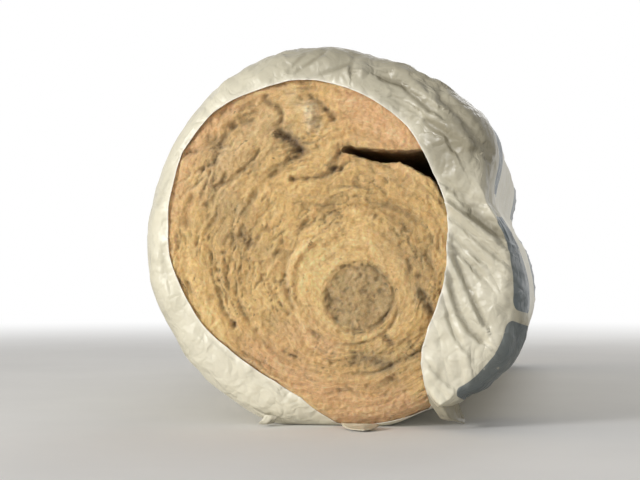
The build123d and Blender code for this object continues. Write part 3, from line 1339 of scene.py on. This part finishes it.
    def _ends_relief(self, end: End, spots: Spots, coil_at: Array) -> tuple[Array, Array, Array]:
        """Relief and colour of one end.

        Args:
            end: Which end.
            spots: The spots.
            coil_at: Their places in the coil as the finish reads them.

        Returns:
            Depth into the wool in metres, painted shade from 0 to 1, and colour.
        """
        seed = 3.0 if end is End.FRONT else 9.0
        share = spots.share
        flat = flat_rows(spots.x, spots.z)
        x, z = spots.x / MM, spots.z / MM
        folds = Relief.FOLDS.at(coil_at, seed)
        seams = Relief.SEAMS.at(coil_at, seed)
        tufts = np.abs(Relief.TUFTS.at(flat, seed))
        fuzz = Relief.FUZZ.at(flat, seed)
        smooth = np.ones(len(x))
        if end is End.FRONT:
            smooth = 1.0 - 0.7 * np.maximum(SMOOTH_TOP.share(x, z), SMOOTH_FOOT.share(x, z) * 0.8)
        ring = RING.share(share)
        rough = smooth * (1.0 - 0.45 * ring) * (1.0 - 0.45 * smooth_step(0.78, 0.92, share))
        split = np.clip(0.35 + Relief.SPLITS.at(flat, seed) * 1.6, 0.0, 1.0)
        split = np.clip(split + ARCS.share(share) * 0.3, 0.0, 1.0)
        crevice = np.exp(-((seams / 0.07) ** 2)) * split * rough
        holes = smooth_step(0.26, 0.62, Relief.HOLES.at(coil_at, seed)) * rough
        # painted shade between the tufts
        valley_shade = np.exp(-((tufts / 0.07) ** 2)) * rough
        depth = folds * 0.0036 * rough + crevice * 0.0032 + Relief.LUMPS.at(flat, seed) * 0.0020 * smooth
        depth += (0.25 - tufts) * 0.0018 * rough + fuzz * 0.0018 + holes * 0.0026
        gap = self.coil.parting_distance(spots)
        broken = np.clip(0.45 + Relief.BREAKS.at(flat, seed) * 1.3, 0.0, 1.0)
        parting = np.exp(-((gap / 0.003) ** 2)) * broken
        depth += parting * 0.0045 + np.exp(-((gap / 0.010) ** 2)) * 0.0012
        # painted shade in the partings, crevices, between tufts and in holes
        dark = parting * 0.30 + crevice * 0.32 + valley_shade * 0.08 + holes * (0.13 + 0.3 * fuzz)
        from_core = np.hypot(*self.coil.from_core(spots)) + Relief.CORE_EDGE.at(flat, seed) * 0.004
        sink = smooth_fall(self.coil.core_radius - 0.006, self.coil.core_radius, from_core)
        depth += sink * 0.0035
        # painted light on the wool's raised places and painted shade where it lies deeper
        relief_light_and_shade = np.clip(1.0 - 28.0 * depth, 0.82, 1.12)[:, None]
        depth -= np.clip(1.0 - (share * 0.9 + 0.1) ** 2, 0.0, 1.0) * 0.0045
        blotch = Relief.BLOTCHES.at(flat, seed)
        tints = [
            (Tone.GREY, np.clip(blotch, 0.0, 1.0) * 0.5),
            (Tone.BRIGHT, np.clip(-blotch, 0.0, 1.0) * 0.5),
            (Tone.BRIGHT, ring * 0.5),
            (Tone.PEACH, smooth_step(0.77, 0.90, share) * 0.75),
            (Tone.CORE, sink * 0.70),
        ]
        if end is End.FRONT:
            tints += [(patch.tone, patch.share(x, z)) for patch in WOOL_PATCHES]
            furrow = np.zeros(len(x))
            for crease in WOOL_CREASES:
                mark = crease.share(x + folds * 4.0, z + seams * 4.0)
                depth += mark * crease.depth * MM
                # painted shade that deepens with each furrow
                furrow += mark * max(crease.depth, 0.0) / 7.0
            dark = np.clip(dark + 0.70 * furrow * (0.8 + fuzz * 0.7), 0.0, 0.85)
        colour = np.tile(np.array(Tone.GOLD.value), (len(x), 1))
        for tone, amount in tints:
            colour = tone.over(colour, amount)
        return depth, dark, colour * relief_light_and_shade


@dataclass(frozen=True)
class Scrap:
    """A torn scrap at the film's edge. Its edges run down in millimetres (x, z), the rest is in metres."""

    name: str
    left: tuple[Pair, ...]
    right: tuple[Pair, ...]
    plane: float                # station along Y of its top
    fold: float                 # share of its width at which it is folded
    depth: float                # how far it is folded back
    grey: float                 # how far it is darkened lower down: painted shade
    forward: float = 0.0        # how far it leans out of the roll


SCRAPS = (
    Scrap(
        "film_scrap",
        ((118, 84), (121, 59), (127, 34), (140, 13), (168, 7)),
        ((150, 72), (157, 52), (162, 31), (166, 16), (168, 7)),
        -0.6125, 0.42, 0.050, 0.85,
    ),
    Scrap(
        "film_shred",
        ((-80, 15), (-84, 9), (-89, 4), (-84, 2), (-79, 2)),
        ((-65, 13), (-67, 8), (-70, 4), (-73, 3), (-79, 2)),
        -0.6000, 0.55, 0.018, 0.30,
    ),
    Scrap(
        "film_tongue",
        ((18, 7), (20, 5), (26, 4), (33, 3), (46, 3)),
        ((62, 7), (66, 6), (64, 5), (60, 4), (54, 3)),
        -0.6030, 0.55, 0.006, 0.15, 0.038,
    ),
)


@dataclass
class FilmWrap:
    """The film sleeve with its collars and the loose flap at the front, and the torn scraps at its edge."""

    section: Section
    name: str = "film_sleeve"
    directions: int = 480
    # Rings from the front edge to the back edge
    edge_rings: int = 34
    shoulder_rings: int = 22
    near_rings: int = 11
    middle_rings: int = 20
    back_rings: int = 13
    near_end: float = -0.44             # stations along Y
    front_plane: float = -0.6129
    edge_plane: float = -0.6095
    side_tangent: float = -0.556
    thickness: float = 0.0008
    back_collar: float = 0.046
    most_lift: float = 0.011
    pull: Pair = (0.120, 0.300)         # where the flap's folds meet, as x and z
    seam: float = 236.0                 # direction at which the UV map begins
    scrap_grid: tuple[int, int] = (16, 22)
    # Crumples in a metre, those of the noise that bends them, its seed, their own seed and their height
    crumples: tuple[tuple[float, ...], ...] = ((17.0, 9.0, 15.0, 11.0, 1.1), (38.0, 20.0, 16.0, 12.0, 0.45))

    def build(self, finish: FilmFinish) -> list[Object]:
        """Builds and dresses the film.

        Args:
            finish: The film's finish.

        Returns:
            The pieces.
        """
        material = finish.material()
        pieces = [self._sleeve()] + [self._loose(scrap) for scrap in SCRAPS]
        for piece in pieces:
            wall = piece.modifiers.new("thickness", "SOLIDIFY")
            wall.thickness = self.thickness
            wall.offset = -1.0
            piece.data.polygons.foreach_set("use_smooth", [True] * len(piece.data.polygons))
            piece.data.materials.append(material)
            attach(piece, "root")
            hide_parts("film_wrap")
        return pieces

    def _sleeve(self) -> Object:
        """The sleeve, its two collars and the flap, as one sheet.

        Returns:
            The sheet.
        """
        rings = self.edge_rings + self.shoulder_rings + self.near_rings + self.middle_rings + self.back_rings
        mesh = settled(wheel(self.directions, rings), self.name)
        directions, ring = wheel_places(mesh)
        directions = self._crowded(directions)
        inset, y, lean = self._profile(directions, ring)
        section = self.section
        x, z = section.place(directions, section.reach(directions) - inset)
        turn = np.radians(directions)
        normals = np.stack([np.cos(turn) * np.cos(lean), np.sin(lean), np.sin(turn) * np.cos(lean)], axis=1)
        places = np.stack([x, y, z], axis=1)
        places += normals * self._lift(directions, ring, places, lean)[:, None]
        places[:, 2] = np.maximum(places[:, 2], self.thickness * 0.5)
        set_coordinates(mesh, places)
        self._unwrap(mesh, directions, y, inset)
        self._weather(mesh, directions, ring, y)
        side = mesh.polygons[len(mesh.polygons) // 2]
        if side.normal.dot(side.center - Vector((section.centre[0], side.center.y, section.centre[1]))) < 0.0:
            mesh.flip_normals()
        return shown(self.name, mesh)

    def _crowded(self, directions: Array) -> Array:
        """Moves even directions closer together from the flap to the top, where the film is most creased.

        Args:
            directions: Even directions in degrees.

        Returns:
            The uneven ones.
        """
        fine = np.arange(0.0, 360.5, 0.5)
        wanted = np.where((fine < 114.0) | (fine > 296.0), 1.9, 0.75)
        total = np.concatenate([[0.0], np.cumsum((wanted[1:] + wanted[:-1]) / 2.0)])
        return np.interp(directions, total * 360.0 / total[-1], fine)

    def _profile(self, directions: Array, ring: Array) -> Array:
        """Where the film runs from its front edge to its back edge in each direction.

        Args:
            directions: Directions in degrees.
            ring: Number of each vertex's ring, from the front edge on.

        Returns:
            Inset from the outline, station along Y, and how far the film leans to the ends, in radians.
        """
        reach = self.section.reach(directions)
        edge = np.maximum(reach - along_table(FREE_EDGE, directions), 0.001)
        fold = np.maximum(reach - along_table(FLAP_FOLD, signed(directions)), 0.004)
        ends = self.edge_rings + self.shoulder_rings - 1
        share = np.clip(ring / ends, 0.0, 1.0)
        profile = self._collar(share, edge, -1.0)
        profile = profile + (self._flap(share, edge, fold) - profile) * FLAP.share(signed(directions))
        near = np.linspace(self.side_tangent, self.near_end, self.near_rings + 1)[1:]
        middle = np.linspace(self.near_end, HALF_LENGTH - SHOULDER, self.middle_rings + 1)[1:]
        stations = np.concatenate([near, middle])
        on_side = stations[np.clip(ring - ends - 1, 0, len(stations) - 1)]
        nothing = np.zeros(len(ring))
        profile = np.where(ring > ends, (nothing, on_side, nothing), profile)
        last = ends + len(stations)
        to_edge = 1.0 - np.clip((ring - last) / self.back_rings, 0.0, 1.0)
        back = self._collar(to_edge, np.full(len(ring), self.back_collar), 1.0)
        return np.where(ring > last, back, profile)

    def _collar(self, share: Array, width: Array, side: float) -> Array:
        """A collar that turns over the shoulder and lies on the end.

        Args:
            share: 0 at the free edge and 1 where the side begins.
            width: How far the free edge lies inside the outline.
            side: -1 for the front end and 1 for the back end.

        Returns:
            Inset, station along Y, and lean.
        """
        quarter = SHOULDER * QUARTER_TURN
        narrow = np.arccos(np.clip(1.0 - width / SHOULDER, 0.0, 1.0)) * SHOULDER
        total = np.where(width > SHOULDER, quarter + width - SHOULDER, narrow)
        far = total * (1.0 - share)
        angle = np.clip(far / SHOULDER, 0.0, QUARTER_TURN)
        inset = SHOULDER * (1.0 - np.cos(angle)) + np.maximum(far - quarter, 0.0)
        y = side * (HALF_LENGTH - SHOULDER + SHOULDER * np.sin(angle))
        return np.stack([inset, y, side * angle])

    def _flap(self, share: Array, edge: Array, fold: Array) -> Array:
        """The flap, which stands in front of the end and turns over its outer fold to the side.

        Args:
            share: 0 at the free edge and 1 where the side begins.
            edge: How far the free edge lies inside the outline.
            fold: How far the outer fold does.

        Returns:
            Inset, station along Y, and lean.
        """
        turn_at = self.edge_rings / (self.edge_rings + self.shoulder_rings - 1)
        along = np.clip(share / turn_at, 0.0, 1.0)
        over = np.clip((share - turn_at) / (1.0 - turn_at), 0.0, 1.0)
        edge = np.maximum(edge, fold + 0.002)
        puff = (self.front_plane - self.edge_plane) * np.sin(along * QUARTER_TURN)
        sheet = (edge + (fold - edge) * along, self.edge_plane + puff, np.full(len(share), -QUARTER_TURN))
        back = (self.side_tangent - self.front_plane) * (1.0 - np.cos(over * QUARTER_TURN))
        shoulder_inset = fold * (1.0 - np.sin(over * QUARTER_TURN))
        shoulder = (shoulder_inset, self.front_plane + back, -QUARTER_TURN * (1.0 - over))
        return np.where(share < turn_at, sheet, shoulder)

    def _lift(self, directions: Array, ring: Array, places: Array, lean: Array) -> Array:
        """How far creases lift the film off the wool.

        Args:
            directions: Direction of each vertex, in degrees.
            ring: Number of its ring.
            places: Its place, in metres.
            lean: How far the film leans to the ends there, in radians.

        Returns:
            The lift, in metres.
        """
        x, y, z = places.T
        seen = signed(directions)
        front = smooth_fall(-0.56, -0.47, y)
        back = smooth_step(0.50, 0.58, y)
        top = TOP_CREASED.share(seen)
        flap = FLAP_CREASED.share(seen) * front
        band = np.stack([x, z, y], axis=1)
        crumples = 0.0
        for scale, bend, seed, moved, height in self.crumples:
            bumps = facets(band * scale + grain(band * bend, 2, seed)[:, None] * 0.5, moved)
            crumples = crumples + np.clip(bumps, 0.0, 0.9) * height
        hoops = np.clip(1.0 - np.abs(grain(band * np.array([5.0, 5.0, 13.0]), 2, 12.0)) * 4.0, 0.0, 1.0)
        slack = grain(band * np.array([9.0, 9.0, 4.0]), 2, 13.0)
        amount = 0.0010 + front * (0.0012 + 0.0030 * top + 0.0022 * flap)
        lift = 0.0004 + amount * crumples + 0.0024 * hoops * (1.0 - back) * (1.0 - front)
        lift += 0.0036 * np.clip(slack + 0.3, 0.0, 1.0)
        length = self.section.lengths(directions)
        pleats = np.abs(np.sin(length * 135.0 + grain(band * 9.0, 2, 14.0) * 3.0))
        lift += back * (0.0020 * (1.0 - pleats) ** 1.5 + 0.001)
        folds = np.zeros(len(x))
        for crease in FILM_CREASES:
            folds += crease.lip(x / MM, z / MM) * crease.depth * MM
        lift += smooth_step(0.10, 0.55, -lean) * folds * (1.4 + 0.3 * flap)
        around, away = self._fan(x, z)
        pulled = np.abs(grain(flat_rows(around * 5.0, away * 4.0), 2, 17.0))
        lift += 0.005 * pulled * flap * smooth_step(0.02, 0.06, away) * smooth_fall(-6.0, 14.0, seen)
        lift += 0.0014 * np.exp(-ring / 1.2)
        lift = np.clip(lift, -0.0035 * flap * smooth_fall(-0.606, -0.600, y), self.most_lift)
        foot = smooth_fall(-80.0, -76.0, seen) * (1.0 - front) + smooth_fall(-57.0, -53.0, seen) * front
        under = smooth_step(-104.0, -98.0, seen) * foot
        return lift * (1.0 - 0.85 * under)

    def _fan(self, x: Array, z: Array) -> tuple[Array, Array]:
        """Angle in radians and distance of each place from the point at which the flap is pulled."""
        dx, dz = x - self.pull[0], z - self.pull[1]
        return np.arctan2(dz, dx), np.hypot(dx, dz)

    def _unwrap(self, mesh: Mesh, directions: Array, y: Array, inset: Array) -> None:
        """Gives the sleeve a UV map in metres: round the roll, and along it from the front shoulder.

        Args:
            mesh: The sleeve.
            directions: Direction of each vertex, in degrees.
            y: Its station.
            inset: How far it lies inside the outline.
        """
        corners = corner_vertices(mesh)
        turn = (directions[corners].reshape(-1, 4) - self.seam) % 360.0
        wraps = (turn.max(axis=1) - turn.min(axis=1)) > 180.0
        turn[wraps] = np.where(turn[wraps] < 180.0, turn[wraps] + 360.0, turn[wraps])
        across = self.section.lengths(turn.ravel() + self.seam - 360.0)
        ahead = y + HALF_LENGTH - SHOULDER + np.where(y < 0.0, -inset, inset) * 0.7
        lay_map(mesh, np.stack([across, ahead[corners]], axis=1))

    def _weather(self, mesh: Mesh, directions: Array, ring: Array, y: Array) -> None:
        """Stores the painted highlight along the film's cut edge, how grey it is from dust and painted shade,
        and where it is crumpled and pulled.

        Args:
            mesh: The sleeve.
            directions: Direction of each vertex, in degrees.
            ring: Number of its ring.
            y: Its station.
        """
        seen = signed(directions)
        # painted highlight along the cut edge
        hem = np.exp(-ring / 1.4) * 0.8
        places = coordinates(mesh)
        x, z = places[:, 0] / MM, places[:, 2] / MM
        # painted shade in the film's folds
        valley_shade = sum(np.maximum(-crease.depth, 0.0) / 4.0 * crease.share(x, z) for crease in FILM_CREASES)
        valley_shade = np.clip(valley_shade, 0.0, 1.0) * smooth_fall(-0.58, -0.56, y)
        left = smooth_step(100.0, 130.0, seen) + smooth_fall(-150.0, -120.0, seen)
        shoulder = SHOULDER_DUST_AND_SHADE.share(y)
        loose = FLAP_STAIN_AND_SHADE.share(seen) * smooth_fall(-0.6, -0.57, y)
        # grey on the top and shoulder: dust and painted shade
        stain = TOP_DUST_AND_SHADE.share(seen) * (0.62 + 0.25 * shoulder)
        stain += loose * (0.08 + 0.22 * smooth_step(-40.0, -15.0, seen))
        # painted shade on the flap's upper part
        stain += smooth_step(4.0, 34.0, seen) * loose * 0.35
        # painted shade on the side turned away beside the flap
        stain += TURNED_BACK.share(y) * BESIDE_FLAP.share(seen) * 0.50
        stain += left * (0.08 + shoulder * 0.28)
        # painted shade in the folds and on the facet above the flap's first fold
        stain += valley_shade * 0.50 + SHADED_FACET.share(x, z) * loose * 0.7
        # less greying near the cut edge: part of its painted highlight
        stain = np.clip(stain, 0.0, 0.95) * (1.0 - 0.8 * hem) * (1.0 - 0.6 * np.exp(-ring / 4.5))
        crumple = 0.33 + 0.17 * smooth_fall(-0.58, -0.5, y) + 0.10 * smooth_step(0.5, 0.57, y)
        around, away = self._fan(places[:, 0], places[:, 2])
        store(mesh, fan=np.stack([around, away, places[:, 1]], axis=1), hem=hem, stain=stain, crumple=crumple)
        store(mesh, pulled=loose * smooth_fall(-6.0, 14.0, seen))

    def _loose(self, scrap: Scrap) -> Object:
        """Builds one torn scrap as a folded sheet.

        Args:
            scrap: Its edges and fold.

        Returns:
            The sheet.
        """
        sheet = bmesh.new()
        bmesh.ops.create_grid(sheet, x_segments=self.scrap_grid[0], y_segments=self.scrap_grid[1], size=1.0)
        mesh = settled(sheet, scrap.name)
        places = coordinates(mesh)
        across = (places[:, 0] + 1.0) / 2.0
        down = (1.0 - places[:, 1]) / 2.0
        steps = np.linspace(0.0, 1.0, len(scrap.left))
        left, right = (
            np.stack([np.interp(down, steps, column) for column in (np.array(edge, float) * MM).T], axis=1)
            for edge in (scrap.left, scrap.right)
        )
        flat = left + (right - left) * across[:, None]
        behind = across - scrap.fold
        back = np.where(behind < 0.0, -behind * 0.2, behind) * scrap.depth * (0.3 + down)
        back += down**3 * scrap.depth * 0.6
        ripple = grain(flat_rows(across * 4.0, down * 5.0), 3, 21.0) * scrap.depth * 0.05
        y = scrap.plane + back + ripple - down * scrap.forward
        set_coordinates(mesh, np.stack([flat[:, 0], y, flat[:, 1]], axis=1))
        uv = np.stack([across * 0.05 - 0.6, down * 0.08 - 0.09], axis=1)
        lay_map(mesh, uv[corner_vertices(mesh)])
        # painted shade on the part folded back and lower down
        stain = smooth_step(-0.02, 0.08, behind) * 0.4 + scrap.grey * smooth_step(0.02, 0.30, down)
        store(mesh, stain=np.clip(stain, 0.0, 1.0), crumple=np.full(len(stain), 0.4))
        if mesh.polygons[0].normal.y > 0.0:
            mesh.flip_normals()
        return shown(scrap.name, mesh)


@dataclass
class Studio:
    """Pale floor, soft lamps, white background and the camera."""

    aim: Vector
    camera_offset: Rgb = (0.276, -1.628, -0.04)
    lens: float = 74.4
    floor_colour: Rgba = (0.80, 0.79, 0.77, 1.0)
    white: Rgba = (1.0, 1.0, 1.0, 1.0)
    daylight: Rgba = (1.0, 0.985, 0.96, 1.0)
    # Name, place, size in metres and power in watts
    lamps: tuple[tuple[str, Rgb, float, float], ...] = (
        ("key", (-2.5, -3.1, 1.15), 1.1, 98.0),
        ("fill", (0.6, -3.0, 0.6), 1.0, 9.0),
        ("back", (0.6, 2.4, 2.2), 1.8, 24.0),
    )

    def build(self) -> None:
        """Puts everything round the roll that isn't part of it."""
        self._floor()
        self._world()
        for name, place, size, watts in self.lamps:
            lamp = bpy.data.lights.new(name, "AREA")
            lamp.energy = watts
            lamp.size = size
            self._aimed(name, lamp, Vector(place))
        camera = bpy.data.cameras.new("camera")
        camera.lens = self.lens
        bpy.context.scene.camera = self._aimed("camera", camera, self.aim + Vector(self.camera_offset))
        bpy.context.scene.view_settings.view_transform = "Standard"

    def _floor(self) -> None:
        """A plain pale floor that keeps the roll's shadow and turns white far away."""
        ground = bmesh.new()
        bmesh.ops.create_grid(ground, x_segments=1, y_segments=1, size=9.0)
        mesh = settled(ground, "floor")
        made, bench = new_material("pale_floor")
        place = bench.add("ShaderNodeTexCoord").outputs["Object"]
        cloud = bench.ramp(bench.noise(place, 3.0), 0.3, 0.7, 0.96, 1.0)
        tint = bench.add("ShaderNodeCombineColor", {0: cloud, 1: cloud, 2: cloud}).outputs[0]
        colour = bench.mix(1.0, self.floor_colour, tint, "MULTIPLY")
        surface = bench.principled({"Base Color": colour, "Roughness": 0.9})
        away = bench.add("ShaderNodeVectorMath", {0: place}, operation="LENGTH").outputs["Value"]
        fade = bench.math("MULTIPLY", bench.ramp(away, 1.0, 3.2), self._seen(bench))
        white = bench.add("ShaderNodeEmission", {"Color": self.white, "Strength": 1.0}).outputs[0]
        bench.output(bench.add("ShaderNodeMixShader", {0: fade, 1: surface, 2: white}).outputs[0])
        mesh.materials.append(made)
        shown("floor", mesh)

    def _world(self) -> None:
        """Soft light from all round, with a white background."""
        world = bpy.data.worlds.new("studio")
        world.use_nodes = True
        bpy.context.scene.world = world
        bench = NodeBench(world.node_tree)
        lights = ((self.daylight, 0.34), (self.white, 1.0))
        soft, white = (
            bench.add("ShaderNodeBackground", {"Color": colour, "Strength": strength}).outputs[0]
            for colour, strength in lights
        )
        both = bench.add("ShaderNodeMixShader", {0: self._seen(bench), 1: soft, 2: white}).outputs[0]
        bench.output(both, "ShaderNodeOutputWorld")

    def _seen(self, bench: NodeBench) -> Socket:
        """Tells the rays that show the background itself from those that light the roll.

        Args:
            bench: Bench of the floor or the world.

        Returns:
            1 for the first and 0 for the others.
        """
        path = bench.add("ShaderNodeLightPath").outputs
        through = bench.math("MAXIMUM", path["Is Glossy Ray"], path["Is Transmission Ray"])
        return bench.math("MAXIMUM", path["Is Camera Ray"], through)

    def _aimed(self, name: str, data: bpy.types.ID, place: Vector) -> Object:
        """Puts a lamp or camera in the scene, facing the roll.

        Args:
            name: Name of the object.
            data: The lamp or camera.
            place: Where it stands.

        Returns:
            The object.
        """
        made = shown(name, data)
        made.location = place
        made.rotation_euler = (self.aim - place).to_track_quat("-Z", "Y").to_euler()
        return made


def main() -> None:
    """Builds the roll and its studio, and reports each piece."""
    logging.basicConfig(level=logging.INFO, format="%(name)s: %(message)s")
    section = Section.measured(frame["nodes"]["film_wrap"], SECTION_MIDDLE)
    speckle = speckle_group()
    pieces = [WoolBlanket(Coil(section)).build(WoolFinish(speckle))]
    pieces += FilmWrap(section).build(FilmFinish(speckle, block_group()))
    Studio(Vector((SECTION_MIDDLE[0], -HALF_LENGTH, SECTION_MIDDLE[1]))).build()
    for piece in pieces:
        LOG.info("%s: %d faces", piece.name, len(piece.data.polygons))


if __name__ == "__main__":
    main()
